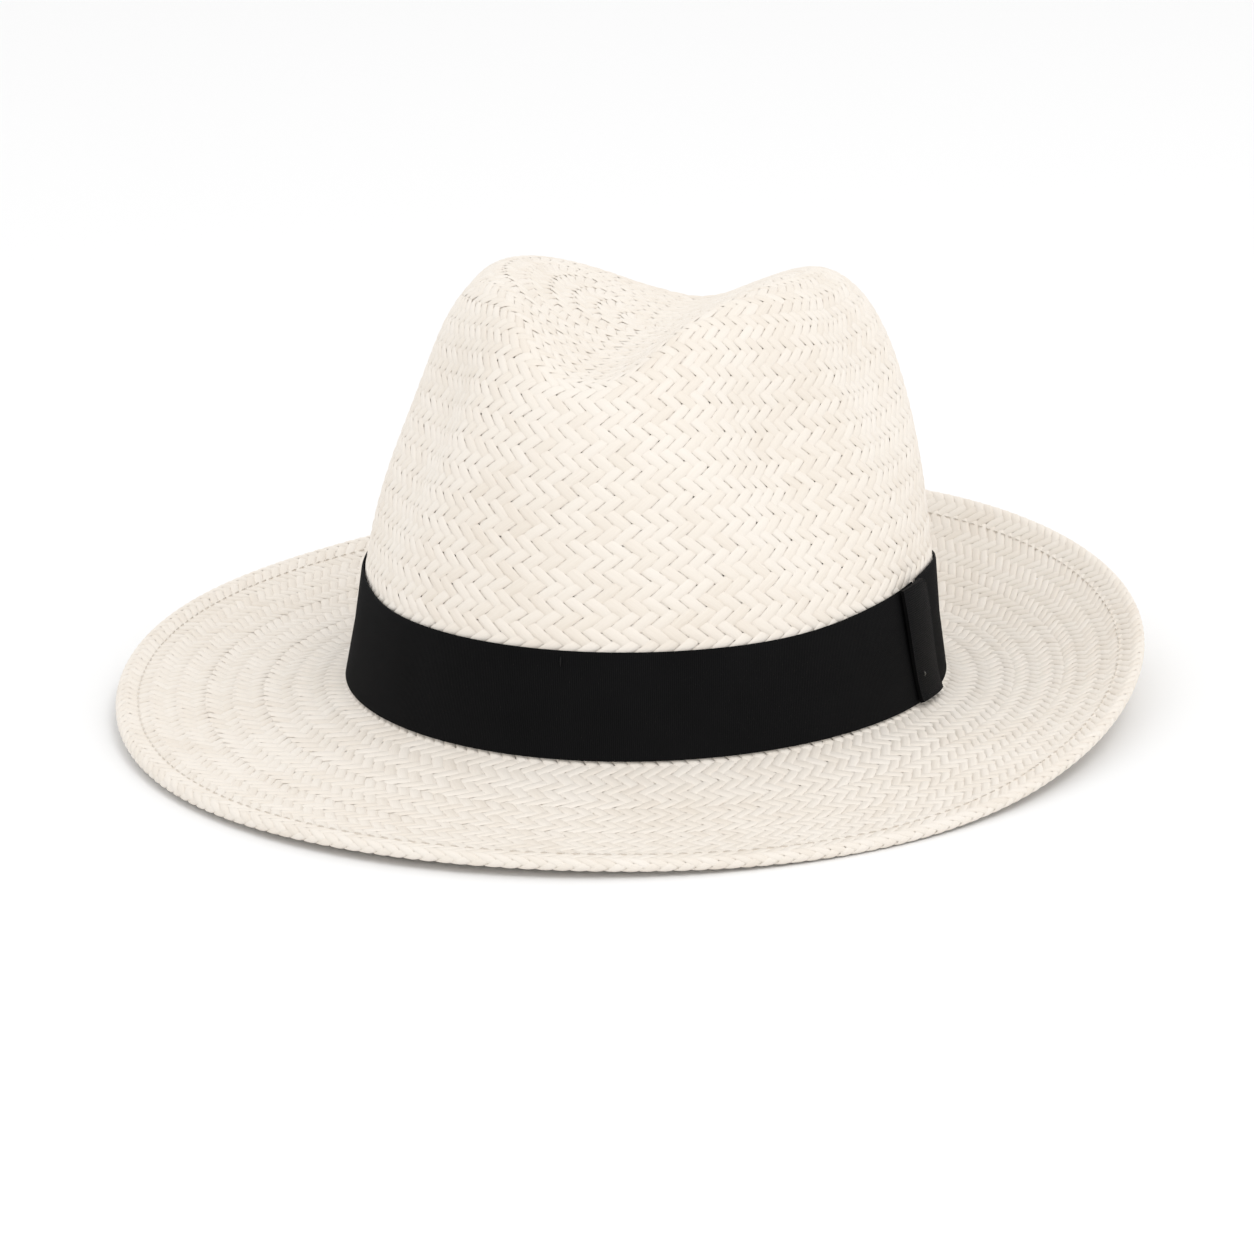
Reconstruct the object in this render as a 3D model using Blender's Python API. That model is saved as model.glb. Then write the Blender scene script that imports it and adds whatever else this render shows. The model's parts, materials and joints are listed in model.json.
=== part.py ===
"""A creased panama hat: woven straw body with a rolled and wired brim edge, grosgrain
hatband with its keeper, and a sweatband on a reed. Metres, +Z up, front of the hat at -Y,
the wearer's left at +X. The hat stands on the front of its brim and the back of its opening.
"""
import math

import bmesh
import bpy
import numpy as np

# ---- head opening and crown ---------------------------------------------------------
OPENING_HALF_WIDTH = 0.0880     # outer half axes of the crown where it meets the brim
OPENING_HALF_LENGTH = 0.1025
EGG = 0.03                      # how much narrower the forehead end is than the back
CROWN_HEIGHT = 0.1312           # the open crown, before it is creased
CROWN_SQUARENESS = 4.07         # exponent of the rounded corner between wall and tip
SIDE_TAPER = 0.100              # part of the width lost from the opening to the tip
FRONT_TAPER = 0.073             # part of the length lost to the tip, at the front
BACK_TAPER = 0.353              # and at the back
TIP_SETBACK = 0.0114            # how far the tip sits behind the opening's middle
BREAK_RISE = 0.0007             # the brim break stands higher towards the wearer's right
FLARE = 0.0018                  # the crown spreads by this at the brim break
FLARE_HEIGHT = 0.006
STRAW = 0.0014                  # thickness of the woven body

# ---- teardrop crease and front pinches ------------------------------------------------
CREASE_FLOOR = 0.1026           # height of the crease's bottom at the front
CREASE_RISE = 0.0033            # it climbs by this to the back
CREASE_DEPTH = 0.0299           # rise of the crease's side over the width below
CREASE_WIDTH = (0.0340, 0.0557)  # half width at the front and at the back
CREASE_POWER = (1.45, 1.02)     # bowl shaped at the front, straight sided at the back
CREASE_LIP = (0.0055, 0.0121)   # softness of the lip at the front and at the back
CREASE_ROUND = 0.0060           # radius of the crease's bottom
CREASE_TURN = (-0.070, 0.100)   # where along Y the front shape gives way, and over how far
CREASE_END = (0.0608, 0.070)    # where along Y the crease runs out, and over how far
CREASE_END_RISE = 0.060
WAIST = 0.136                   # the crown is drawn in by this part above the band
WAIST_SIZE = (0.030, 0.040)     # its spread along Y and Z
WAIST_Z = 0.100
PINCH = 0.210                   # the front pinches are drawn in by this part
PINCH_SIZE = (0.0222, 0.0357)   # their spread along Y and Z
PINCH_Y = -0.0506
PINCH_Z = 0.0883

# ---- brim -----------------------------------------------------------------------------
BRIM_WIDTH = 0.0655
BRIM_LONGER_FRONT = 0.0047      # added at the front, taken off at the back
BRIM_LONGER_ENDS = 0.0026       # added at front and back, taken off at the sides
BRIM_UNEVEN = -0.0036           # hand blocked, a little wider at the wearer's right
BRIM_DIP = 0.0060               # the brim first falls away from the break by this
EDGE_RISE_EVEN = (0.0085, -0.0163, 0.0012, 0.0004, 0.0011)  # cosine waves of the edge
EDGE_RISE_ODD = (0.0027, -0.0030, 0.0007)                   # sine waves of the edge

# ---- rolled edge, its wire and its stitching ---------------------------------------------
ROLL_RADIUS = 0.0019
CHANNEL_RADIUS = 0.0008
HEM_WIDTH = 0.0100
HEM_THICKNESS = 0.0009
HEM_GAP = 0.00035
BRIM_WIRE_RADIUS = 0.00045
THREAD_RADIUS = 0.00022
HEM_STITCH_INSET = 0.0065

# ---- hatband and keeper --------------------------------------------------------------
CLEARANCE = 0.0003
BAND_THICKNESS = 0.0007
BAND_FOOT = 0.0005
BAND_TOP = 0.0305               # height of the band's upper edge at front and back
BAND_SIDE_RISE = 0.0045         # it stands this much higher at the sides
BAND_LEFT_RISE = 0.0010         # and this much more at the wearer's left
BAND_SEAM = math.radians(81.5)  # where the band's ends meet, at the wearer's left
BAND_SEAM_HALF_GAP = 0.004
KEEPER_FRONT = math.radians(74.0)
KEEPER_BACK = math.radians(84.5)
KEEPER_SLANT = math.radians(4.0)
KEEPER_THICKNESS = 0.0009
KEEPER_STANDOFF = 0.0006
KEEPER_PUFF = 0.0009
KEEPER_PROUD_TOP = 0.0003       # the keeper's top stands this much over the band's
TACK_LENGTH = 0.0030
TACK_BELOW_TOP = 0.0045
KEEPER_TACK_LENGTH = 0.0015
KEEPER_TACK_HEIGHT = 0.0080
KEEPER_TACK_ANGLE = KEEPER_FRONT + 1.3 * KEEPER_SLANT

# ---- sweatband ---------------------------------------------------------------------------
SWEATBAND_TOP = 0.0330
SWEATBAND_THICKNESS = 0.0009
SWEATBAND_STANDOFF = 0.0011
SWEATBAND_SEAM_HALF_GAP = 0.0035
REED_RADIUS = 0.0006
REED_HEIGHT = 0.0022
STITCH_OVER_REED = 0.0035
TAPE_HALF_ANGLE = math.radians(5.0)
TAPE_FOOT = 0.0075
TAPE_THICKNESS = 0.0006
LABEL_ANGLE = math.radians(205.0)
LABEL_HALF_ANGLE = math.radians(8.0)
LABEL_LOW, LABEL_HIGH = 0.0090, 0.0240
LABEL_THICKNESS = 0.0004

# ---- how the hat stands -----------------------------------------------------------------
LEAN = math.radians(1.79)       # tipped back onto the rear of its opening
STAND_SHIFT = (0.00341, 0.00368, 0.00570)

SEGMENTS = 72
BACK = math.pi


# =============================== the form of the hat ======================================

def smooth_step(value):
    """0 below 0, 1 above 1, and 3v^2 - 2v^3 between."""
    value = np.clip(value, 0.0, 1.0)
    return value * value * (3.0 - 2.0 * value)


def opening_oval(angle):
    """The egg-shaped head opening; the angle runs from the front towards the wearer's left."""
    x = OPENING_HALF_WIDTH * np.sin(angle) * (1.0 - EGG * np.cos(angle))
    y = -OPENING_HALF_LENGTH * np.cos(angle)
    return x, y


def blend(ends, part):
    """From the first of two ends to the second."""
    return ends[0] + (ends[1] - ends[0]) * part


def crown_form(angle, height_part, radius_part):
    """A point of the crown from its part of the height and of the radius.

    The open crown is the opening's oval, tapered with height. The crease is a rounded
    valley along Y, met by the open crown in a soft lip. The pinches squeeze X towards 0.
    """
    oval_x, oval_y = opening_oval(angle)
    taper = blend((BACK_TAPER, FRONT_TAPER), 0.5 + 0.5 * np.cos(angle))
    x = oval_x * radius_part * (1.0 - SIDE_TAPER * height_part)
    y = oval_y * radius_part * (1.0 - taper * height_part) + TIP_SETBACK * height_part
    z = CROWN_HEIGHT * height_part
    backward = smooth_step((y - CREASE_TURN[0]) / CREASE_TURN[1])
    end = smooth_step((y - CREASE_END[0]) / CREASE_END[1])
    floor = CREASE_FLOOR + CREASE_RISE * backward + CREASE_END_RISE * end
    across = np.sqrt(x * x + CREASE_ROUND ** 2) - CREASE_ROUND
    steepness = blend(CREASE_POWER, backward)
    valley = floor + CREASE_DEPTH * (across / blend(CREASE_WIDTH, backward)) ** steepness
    lip = blend(CREASE_LIP, backward)
    creased = (z + valley - np.sqrt((z - valley) ** 2 + lip ** 2)) / 2.0
    waist_z = (z - WAIST_Z) / WAIST_SIZE[1]
    waist = WAIST * np.exp(-(y / WAIST_SIZE[0]) ** 2 - waist_z ** 2)
    pinch_y = (y - PINCH_Y) / PINCH_SIZE[0]
    pinch_z = (creased - PINCH_Z) / PINCH_SIZE[1]
    pinch = PINCH * np.exp(-pinch_y ** 2 - pinch_z ** 2)
    spread = 1.0 + FLARE / OPENING_HALF_WIDTH * np.exp(-z / FLARE_HEIGHT)
    rise = BREAK_RISE * (np.sin(angle) ** 2 - np.sin(angle)) * (1.0 - height_part)
    return np.stack([x * (1.0 - waist - pinch) * spread, y * spread, creased + rise], axis=-1)


def crown_turn(angle, turn):
    """The crown by its quarter turn from the opening (0) to the middle of the tip (1)."""
    quarter = np.clip(turn, 0.0, 1.0) * math.pi / 2.0
    power = 2.0 / CROWN_SQUARENESS
    return crown_form(angle, np.sin(quarter) ** power, np.cos(quarter) ** power)


def crown_wall(angle, height):
    """The crown's outer wall at a height above the opening."""
    part = np.maximum(height, 0.0) / CROWN_HEIGHT
    radius = (1.0 - part ** CROWN_SQUARENESS) ** (1.0 / CROWN_SQUARENESS)
    return crown_form(angle, part, radius)


def brim_width(angle):
    """The width of the brim, from the break to its edge."""
    width = BRIM_WIDTH + BRIM_LONGER_FRONT * np.cos(angle)
    return width + BRIM_LONGER_ENDS * np.cos(2.0 * angle) + BRIM_UNEVEN * np.sin(angle)


def edge_rise(angle):
    """The height of the brim's edge over the opening: a sum of cosine and sine waves."""
    rise = sum(part * np.cos(wave * angle) for wave, part in enumerate(EDGE_RISE_EVEN))
    return rise + sum(part * np.sin((wave + 1) * angle) for wave, part in enumerate(EDGE_RISE_ODD))


def brim_form(angle, inset):
    """The top of the brim at a distance inside its edge, square to the opening's oval."""
    step = 1e-4
    ahead = np.stack(opening_oval(angle + step), axis=-1)
    behind = np.stack(opening_oval(angle - step), axis=-1)
    along = (ahead - behind) / np.linalg.norm(ahead - behind, axis=-1, keepdims=True)
    width = brim_width(angle)
    part = 1.0 - inset / width
    start = crown_wall(angle, np.zeros_like(angle))
    x = start[..., 0] + along[..., 1] * width * part
    y = start[..., 1] - along[..., 0] * width * part
    fall = np.minimum(edge_rise(angle), 0.0) - BRIM_DIP
    climb = edge_rise(angle) - fall
    z = fall * (1.6 * part - 0.6 * part * part) + climb * part * part
    return np.stack([x, y, start[..., 2] * (1.0 - part) + z], axis=-1)


def surface_normals(form, angle, value, step):
    """Unit normals of form(angle, value), by the cross product of its two directions."""
    around = form(angle + 1e-3, value) - form(angle - 1e-3, value)
    along = form(angle, value + step) - form(angle, value - step)
    normal = np.cross(around, along)
    return normal / np.linalg.norm(normal, axis=-1, keepdims=True)


def stand(points):
    """Lay the hat as it stands: leaned back about X and moved over the origin."""
    x, y, z = points[..., 0], points[..., 1], points[..., 2]
    cos, sin = math.cos(LEAN), math.sin(LEAN)
    placed = np.stack([x, y * cos + z * sin, z * cos - y * sin], axis=-1)
    return placed + np.array(STAND_SHIFT)


# =============================== making the pieces ========================================

def remove_everything():
    """Start from an empty scene."""
    for item in list(bpy.data.objects):
        bpy.data.objects.remove(item, do_unlink=True)


def make_material(name, colour, roughness, metallic=0.0):
    """A Principled material of one colour."""
    material = bpy.data.materials.new(name)
    material.use_nodes = True
    shader = material.node_tree.nodes["Principled BSDF"]
    shader.inputs["Base Color"].default_value = (*colour, 1.0)
    shader.inputs["Roughness"].default_value = roughness
    shader.inputs["Metallic"].default_value = metallic
    return material


def add_loft(name, rings, material, closed_round=True, poles=False):
    """Bridge rings of points one after another into one closed body.

    closed_round joins each ring's ends; otherwise its two ends become caps. poles shrinks
    the first and the last ring to one point; without poles the last ring meets the first.
    """
    mesh = bmesh.new()
    rows = [[mesh.verts.new(point) for point in stand(ring)] for ring in rings]
    pairs = list(zip(rows, rows[1:]))
    if not poles:
        pairs.append((rows[-1], rows[0]))
    count = len(rows[1])
    spans = range(count if closed_round else count - 1)
    for lower, upper in pairs:
        for index in spans:
            after = (index + 1) % count
            corners = [lower[index % len(lower)], lower[after % len(lower)],
                       upper[after % len(upper)], upper[index % len(upper)]]
            mesh.faces.new(list(dict.fromkeys(corners)))
    if not closed_round:
        mesh.faces.new([row[0] for row in rows])
        mesh.faces.new([row[-1] for row in reversed(rows)])
    bmesh.ops.recalc_face_normals(mesh, faces=mesh.faces)
    data = bpy.data.meshes.new(name)
    mesh.to_mesh(data)
    mesh.free()
    data.materials.append(material)
    data.shade_smooth()
    data.set_sharp_from_angle(angle=math.radians(40.0))
    item = bpy.data.objects.new(name, data)
    bpy.context.scene.collection.objects.link(item)
    return item


def all_round():
    """The angles of one ring right round the hat."""
    return np.arange(SEGMENTS) * (2.0 * math.pi / SEGMENTS)


def hem_point(angle, inset, depth):
    """A point at a distance inside the brim's edge and a depth under the brim's top."""
    inset = np.full_like(angle, inset)
    down = surface_normals(brim_form, angle, inset, 1e-4)
    down = down * np.sign(-down[..., 2:3])
    return brim_form(angle, inset) + down * depth


def crown_rings(count, depth):
    """Rings of the crown from the opening to the tip, evenly spaced along its wall.

    depth sets them inside the outer face. The last ring is the one point at the tip.
    """
    angle = all_round()
    turns = np.linspace(0.0, 1.0, 600)
    grid_angle, grid_turn = np.meshgrid(angle, turns, indexing="ij")
    path = crown_turn(grid_angle, grid_turn)
    steps = np.linalg.norm(np.diff(path, axis=1), axis=-1)
    length = np.concatenate([np.zeros((SEGMENTS, 1)), np.cumsum(steps, axis=1)], axis=1)
    rings = []
    for share in np.linspace(0.0, 1.0, count + 1)[:-1]:
        turn = np.array([np.interp(share * row[-1], row, turns) for row in length])
        inward = -surface_normals(crown_turn, angle, np.maximum(turn, 2e-3), 1e-4)
        rings.append(crown_turn(angle, turn) + inward * depth)
    tip = crown_turn(np.zeros(1), np.ones(1)) - np.array([[0.0, 0.0, depth]])
    return rings + [tip]


def arc(middle_inset, middle_depth, radius, start, end, count):
    """Inset and depth along an arc in the brim's section; 0 degrees points out of the edge."""
    turns = np.radians(np.linspace(start, end, count))
    return [(middle_inset - radius * math.cos(turn), middle_depth - radius * math.sin(turn))
            for turn in turns]


def make_straw_body(material):
    """Crown and brim, woven as one, with the brim's edge rolled under its wire.

    The loft runs down the inside of the crown, out under the brim, round the hem and its
    channel, back over the brim and up the outside of the crown.
    """
    angle = all_round()
    inside = crown_rings(16, STRAW)[1:]
    under = [hem_point(angle, inset, STRAW) for inset in (0.057, 0.045, 0.030, 0.014)]
    channel = arc(ROLL_RADIUS, ROLL_RADIUS, CHANNEL_RADIUS, 140.0, -90.0, 5)
    flap_top = [(HEM_WIDTH, STRAW + HEM_GAP)]
    flap_bottom = [(HEM_WIDTH, STRAW + HEM_GAP + HEM_THICKNESS)]
    roll = arc(ROLL_RADIUS, ROLL_RADIUS, ROLL_RADIUS, -90.0, 90.0, 6)
    hem = [hem_point(angle, inset, depth) for inset, depth in
           channel + flap_top + flap_bottom + roll]
    over = [hem_point(angle, inset, 0.0) for inset in (0.010, 0.024, 0.038, 0.052)]
    outside = crown_rings(16, 0.0)
    rings = inside[::-1] + under + hem + over + outside
    return add_loft("straw_body", rings, material, poles=True)


def make_ring_tube(name, middle, radius, sides, material):
    """A thin round ring; middle(angle, out, up) gives a point beside its centre line."""
    angle = all_round()
    rings = []
    for side in range(sides):
        turn = 2.0 * math.pi * side / sides
        rings.append(middle(angle, radius * math.cos(turn), radius * math.sin(turn)))
    return add_loft(name, rings, material)


def make_brim_wire(material):
    """The spring wire that lies in the channel of the rolled edge."""
    def beside(angle, out, up):
        return hem_point(angle, ROLL_RADIUS - out, ROLL_RADIUS - up)
    return make_ring_tube("brim_wire", beside, BRIM_WIRE_RADIUS, 6, material)


def make_hem_stitching(material):
    """The line of thread on the brim's top that holds the hem under it."""
    height = CLEARANCE + THREAD_RADIUS

    def beside(angle, out, up):
        return hem_point(angle, HEM_STITCH_INSET - out, -(height + up))
    return make_ring_tube("hem_stitching", beside, THREAD_RADIUS, 4, material)


def wall_point(angle, height, proud):
    """A point on the crown's wall, standing proud of it (or inside it where negative)."""
    height = np.zeros_like(angle) + height
    proud = np.zeros_like(angle) + proud
    outward = surface_normals(crown_wall, angle, np.maximum(height, 2e-4), 1e-4)
    return crown_wall(angle, height) + outward * proud[..., None]


def band_top(angle):
    """The height of the hatband's upper edge."""
    rise = BAND_SIDE_RISE + BAND_LEFT_RISE * np.sin(angle)
    return BAND_TOP + rise * np.sin(angle) ** 8


def add_wall_strip(name, angle, low, high, inner, outer, material, rows=4):
    """A strip lying on the crown's wall between two heights and two standoffs."""
    parts = np.linspace(0.0, 1.0, rows)
    rings = [wall_point(angle, low + (high - low) * part, outer) for part in parts]
    rings += [wall_point(angle, low + (high - low) * part, inner) for part in parts[::-1]]
    return add_loft(name, rings, material, closed_round=False)


def make_hatband(material):
    """A grosgrain ribbon right round the crown; its ends meet under the keeper."""
    gap = BAND_SEAM_HALF_GAP / OPENING_HALF_LENGTH / 2.0
    angle = np.linspace(BAND_SEAM + gap, BAND_SEAM + 2.0 * math.pi - gap, SEGMENTS + 1)
    return add_wall_strip("hatband", angle, BAND_FOOT, band_top(angle), CLEARANCE,
                          CLEARANCE + BAND_THICKNESS, material)


def make_keeper(material):
    """The upright fold of ribbon that hides the band's ends and stands off it."""
    outer_face = CLEARANCE + BAND_THICKNESS + KEEPER_STANDOFF
    rings_out = []
    rings_in = []
    for part in np.linspace(0.0, 1.0, 5):
        across = np.linspace(0.0, 1.0, 7)
        slant = KEEPER_SLANT * (1.0 - part)
        angle = KEEPER_FRONT + slant + (KEEPER_BACK - KEEPER_FRONT) * across
        height = BAND_FOOT + (band_top(angle) + KEEPER_PROUD_TOP - BAND_FOOT) * part
        puff = KEEPER_PUFF * np.sin(math.pi * np.clip(across, 0.05, 0.95)) ** 0.5
        rings_out.append(wall_point(angle, height, outer_face + KEEPER_THICKNESS + puff))
        rings_in.append(wall_point(angle, height, outer_face + puff * 0.5))
    return add_loft("hatband_keeper", rings_out + rings_in[::-1], material, closed_round=False)


def make_tack(name, angle, height, proud, length, material):
    """A short stitch of thread lying upright on the ribbon."""
    wide = THREAD_RADIUS / OPENING_HALF_LENGTH
    across = np.linspace(angle - wide, angle + wide, 2)
    return add_wall_strip(name, across, height, height + length, proud,
                          proud + 2.0 * THREAD_RADIUS, material, rows=2)


def make_tacks(material):
    """The stitches that hold the band to the crown, and one through the keeper."""
    proud = CLEARANCE + BAND_THICKNESS + CLEARANCE
    places = {"front": 0.0, "right": 1.5 * math.pi, "back": BACK}
    for side, angle in places.items():
        height = band_top(angle) - TACK_BELOW_TOP
        make_tack("hatband_tack_" + side, angle, height, proud, TACK_LENGTH, material)
    proud = CLEARANCE + BAND_THICKNESS + KEEPER_STANDOFF + KEEPER_THICKNESS + KEEPER_PUFF
    make_tack("keeper_tack", KEEPER_TACK_ANGLE, KEEPER_TACK_HEIGHT, proud + CLEARANCE,
              KEEPER_TACK_LENGTH, material)


def make_sweatband(material):
    """The inner band against the forehead; its foot is folded round the reed.

    The section runs up the face towards the head, back down behind it, and round the fold.
    """
    gap = SWEATBAND_SEAM_HALF_GAP / OPENING_HALF_LENGTH / 2.0
    angle = np.linspace(BACK + gap, BACK + 2.0 * math.pi - gap, SEGMENTS + 1)
    back_face = -(STRAW + SWEATBAND_STANDOFF)
    front_face = back_face - SWEATBAND_THICKNESS
    fold = REED_RADIUS + CLEARANCE + SWEATBAND_THICKNESS
    channel = REED_RADIUS + CLEARANCE
    middle = front_face - channel
    heights = np.linspace(REED_HEIGHT + fold, SWEATBAND_TOP, 3)
    section = [(front_face, height) for height in heights]
    section += [(back_face, height) for height in heights[::-1]]
    section += [(middle + fold * math.cos(turn), REED_HEIGHT + fold * math.sin(turn))
                for turn in np.radians((20.0, -36.0, -92.0, -148.0, -205.0))]
    section += [(middle + channel * math.cos(turn), REED_HEIGHT + channel * math.sin(turn))
                for turn in np.radians((-205.0, -148.0, -92.0, -36.0, 20.0))]
    rings = [wall_point(angle, height, proud) for proud, height in section]
    return add_loft("sweatband", rings, material, closed_round=False)


def make_reed(material):
    """The plastic reed in the foot of the sweatband, open where its ends meet at the back."""
    gap = SWEATBAND_SEAM_HALF_GAP / OPENING_HALF_LENGTH
    angle = np.linspace(BACK + gap, BACK + 2.0 * math.pi - gap, SEGMENTS + 1)
    middle = -(STRAW + SWEATBAND_STANDOFF + SWEATBAND_THICKNESS + REED_RADIUS + CLEARANCE)
    rings = []
    for turn in np.linspace(0.0, 2.0 * math.pi, 7)[:-1]:
        height = REED_HEIGHT + REED_RADIUS * math.sin(turn)
        rings.append(wall_point(angle, height, middle + REED_RADIUS * math.cos(turn)))
    return add_loft("sweatband_reed", rings, material, closed_round=False)


def make_sweatband_stitching(material):
    """The thread just over the reed that sews the sweatband into the opening."""
    face = -(STRAW + SWEATBAND_STANDOFF + SWEATBAND_THICKNESS)
    gap = SWEATBAND_SEAM_HALF_GAP / OPENING_HALF_LENGTH
    angle = np.linspace(BACK + gap, BACK + 2.0 * math.pi - gap, SEGMENTS + 1)
    height = REED_HEIGHT + STITCH_OVER_REED
    rings = []
    for turn in np.radians((45.0, 135.0, 225.0, 315.0)):
        proud = face - CLEARANCE - THREAD_RADIUS + THREAD_RADIUS * math.cos(turn)
        rings.append(wall_point(angle, height + THREAD_RADIUS * math.sin(turn), proud))
    return add_loft("sweatband_stitching", rings, material, closed_round=False)


def make_seam_patch(material):
    """The strip of tape that closes the sweatband's ends at the back."""
    angle = np.linspace(BACK - TAPE_HALF_ANGLE, BACK + TAPE_HALF_ANGLE, 7)
    face = -(STRAW + SWEATBAND_STANDOFF + SWEATBAND_THICKNESS)
    outer = face - CLEARANCE
    return add_wall_strip("sweatband_back_tape", angle, TAPE_FOOT, SWEATBAND_TOP - 0.001,
                          outer - TAPE_THICKNESS, outer, material)


def make_size_label(material):
    """The plain woven label sewn to the sweatband."""
    angle = np.linspace(LABEL_ANGLE - LABEL_HALF_ANGLE, LABEL_ANGLE + LABEL_HALF_ANGLE, 7)
    face = -(STRAW + SWEATBAND_STANDOFF + SWEATBAND_THICKNESS)
    outer = face - CLEARANCE
    return add_wall_strip("size_label", angle, LABEL_LOW, LABEL_HIGH,
                          outer - LABEL_THICKNESS, outer, material, rows=3)


def build():
    """Make every piece of the hat."""
    remove_everything()
    straw = make_material("paper_straw", (0.86, 0.80, 0.71), 0.62)
    ribbon = make_material("black_grosgrain", (0.010, 0.010, 0.012), 0.70)
    cloth = make_material("sweatband_cloth", (0.74, 0.68, 0.58), 0.85)
    steel = make_material("spring_wire", (0.60, 0.60, 0.60), 0.35, 1.0)
    reed = make_material("clear_reed", (0.80, 0.80, 0.78), 0.40)
    pale_thread = make_material("cream_thread", (0.82, 0.77, 0.68), 0.70)
    black_thread = make_material("black_thread", (0.015, 0.015, 0.015), 0.60)
    label = make_material("label_cloth", (0.88, 0.87, 0.84), 0.80)
    make_straw_body(straw)
    make_brim_wire(steel)
    make_hem_stitching(pale_thread)
    make_hatband(ribbon)
    make_keeper(ribbon)
    make_tacks(black_thread)
    make_sweatband(cloth)
    make_reed(reed)
    make_sweatband_stitching(pale_thread)
    make_seam_patch(cloth)
    make_size_label(label)


build()
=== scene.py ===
"""The looks of a creased panama hat of paper straw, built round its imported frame.

Metres, +Z up. Angles run round the hat from the front, at -Y, towards the wearer's left, at +X.
"""

import json
import math

import bpy
import numpy as np
from mathutils import Matrix, Vector


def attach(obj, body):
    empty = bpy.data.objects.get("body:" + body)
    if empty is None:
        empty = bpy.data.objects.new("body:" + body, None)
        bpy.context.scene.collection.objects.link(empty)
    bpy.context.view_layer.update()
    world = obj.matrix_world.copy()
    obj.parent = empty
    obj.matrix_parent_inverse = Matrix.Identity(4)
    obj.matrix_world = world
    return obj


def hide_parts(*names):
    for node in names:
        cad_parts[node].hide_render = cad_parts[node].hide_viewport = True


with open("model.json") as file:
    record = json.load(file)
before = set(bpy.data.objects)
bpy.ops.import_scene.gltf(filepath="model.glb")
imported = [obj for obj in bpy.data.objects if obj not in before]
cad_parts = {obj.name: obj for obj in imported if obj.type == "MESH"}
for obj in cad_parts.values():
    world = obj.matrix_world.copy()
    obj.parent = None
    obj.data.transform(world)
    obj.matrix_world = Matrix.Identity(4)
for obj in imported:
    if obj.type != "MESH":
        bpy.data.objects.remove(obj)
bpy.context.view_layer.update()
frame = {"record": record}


# ---- how the hat stands ----------------------------------------------------------------------
# The hat rests on the front of its brim and on the back of its head opening, so the upright
# hat of the formulas leans back a little and sits over the frame's origin.

LEAN = math.radians(1.79)
OPENING_PLACE = np.array(frame["record"]["mounts"][0]["pos_m"])


def stand(points):
    """Turn points about X by the lean, then move the opening's middle to its place."""
    x, y, z = points[..., 0], points[..., 1], points[..., 2]
    cos, sin = math.cos(LEAN), math.sin(LEAN)
    return np.stack([x, y * cos + z * sin, z * cos - y * sin], axis=-1) + OPENING_PLACE


# ---- the straw body: its form ----------------------------------------------------------------
# Crown and brim are one blocked shell. The open crown tapers to a rounded tip, a teardrop
# crease and two front pinches are pressed into it, and the brim dips at front and back.

OPENING_HALF_WIDTH = 0.0880     # outer half axes of the crown where it meets the brim
OPENING_HALF_LENGTH = 0.1025
EGG = 0.03                      # how much narrower the forehead end is than the back
CROWN_HEIGHT = 0.1312           # the open crown, before it is creased
CROWN_SQUARENESS = 4.07         # exponent of the rounded corner between wall and tip
SIDE_TAPER = 0.100              # part of the width lost from the opening to the tip
FRONT_TAPER = 0.073             # part of the length lost to the tip, at the front
BACK_TAPER = 0.353              # and at the back
TIP_SETBACK = 0.0114            # how far the tip sits behind the opening's middle
BREAK_RISE = 0.0007             # the brim break stands higher towards the wearer's right
FLARE = 0.0018                  # the crown spreads by this at the brim break
FLARE_HEIGHT = 0.006
CREASE_FLOOR = 0.1026           # height of the crease's bottom at the front
CREASE_RISE = 0.0033            # it climbs by this to the back
CREASE_DEPTH = 0.0299           # rise of the crease's side over the width below
CREASE_WIDTH = (0.0340, 0.0557)  # half width at the front and at the back
CREASE_POWER = (1.45, 1.02)     # bowl shaped at the front, straight sided at the back
CREASE_LIP = (0.0055, 0.0121)   # softness of the lip at the front and at the back
CREASE_ROUND = 0.0060           # radius of the crease's bottom
CREASE_TURN = (-0.070, 0.100)   # where along Y the front shape gives way, and over how far
CREASE_END = (0.0608, 0.070)    # where along Y the crease runs out, and over how far
CREASE_END_RISE = 0.060
WAIST = 0.136                   # the crown is drawn in by this part above the band
WAIST_SIZE = (0.030, 0.040)     # its spread along Y and Z
WAIST_Z = 0.100
PINCH = 0.210                   # the front pinches are drawn in by this part
PINCH_SIZE = (0.0222, 0.0357)   # their spread along Y and Z
PINCH_Y = -0.0506
PINCH_Z = 0.0883
BRIM_WIDTH = 0.0655
BRIM_LONGER_FRONT = 0.0047      # added at the front, taken off at the back
BRIM_LONGER_ENDS = 0.0026       # added at front and back, taken off at the sides
BRIM_UNEVEN = -0.0036           # hand blocked, a little wider at the wearer's right
BRIM_DIP = 0.0060               # the brim first falls away from the break by this
EDGE_RISE_EVEN = (0.0085, -0.0163, 0.0012, 0.0004, 0.0011)  # cosine waves of the edge
EDGE_RISE_ODD = (0.0027, -0.0030, 0.0007)                   # sine waves of the edge


def smooth_step(value):
    """0 below 0, 1 above 1, and 3v^2 - 2v^3 between."""
    value = np.clip(value, 0.0, 1.0)
    return value * value * (3.0 - 2.0 * value)


def opening_oval(angle):
    """The egg-shaped head opening; the angle runs from the front towards the wearer's left."""
    x = OPENING_HALF_WIDTH * np.sin(angle) * (1.0 - EGG * np.cos(angle))
    y = -OPENING_HALF_LENGTH * np.cos(angle)
    return x, y


def blend(ends, part):
    """From the first of two ends to the second."""
    return ends[0] + (ends[1] - ends[0]) * part


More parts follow.
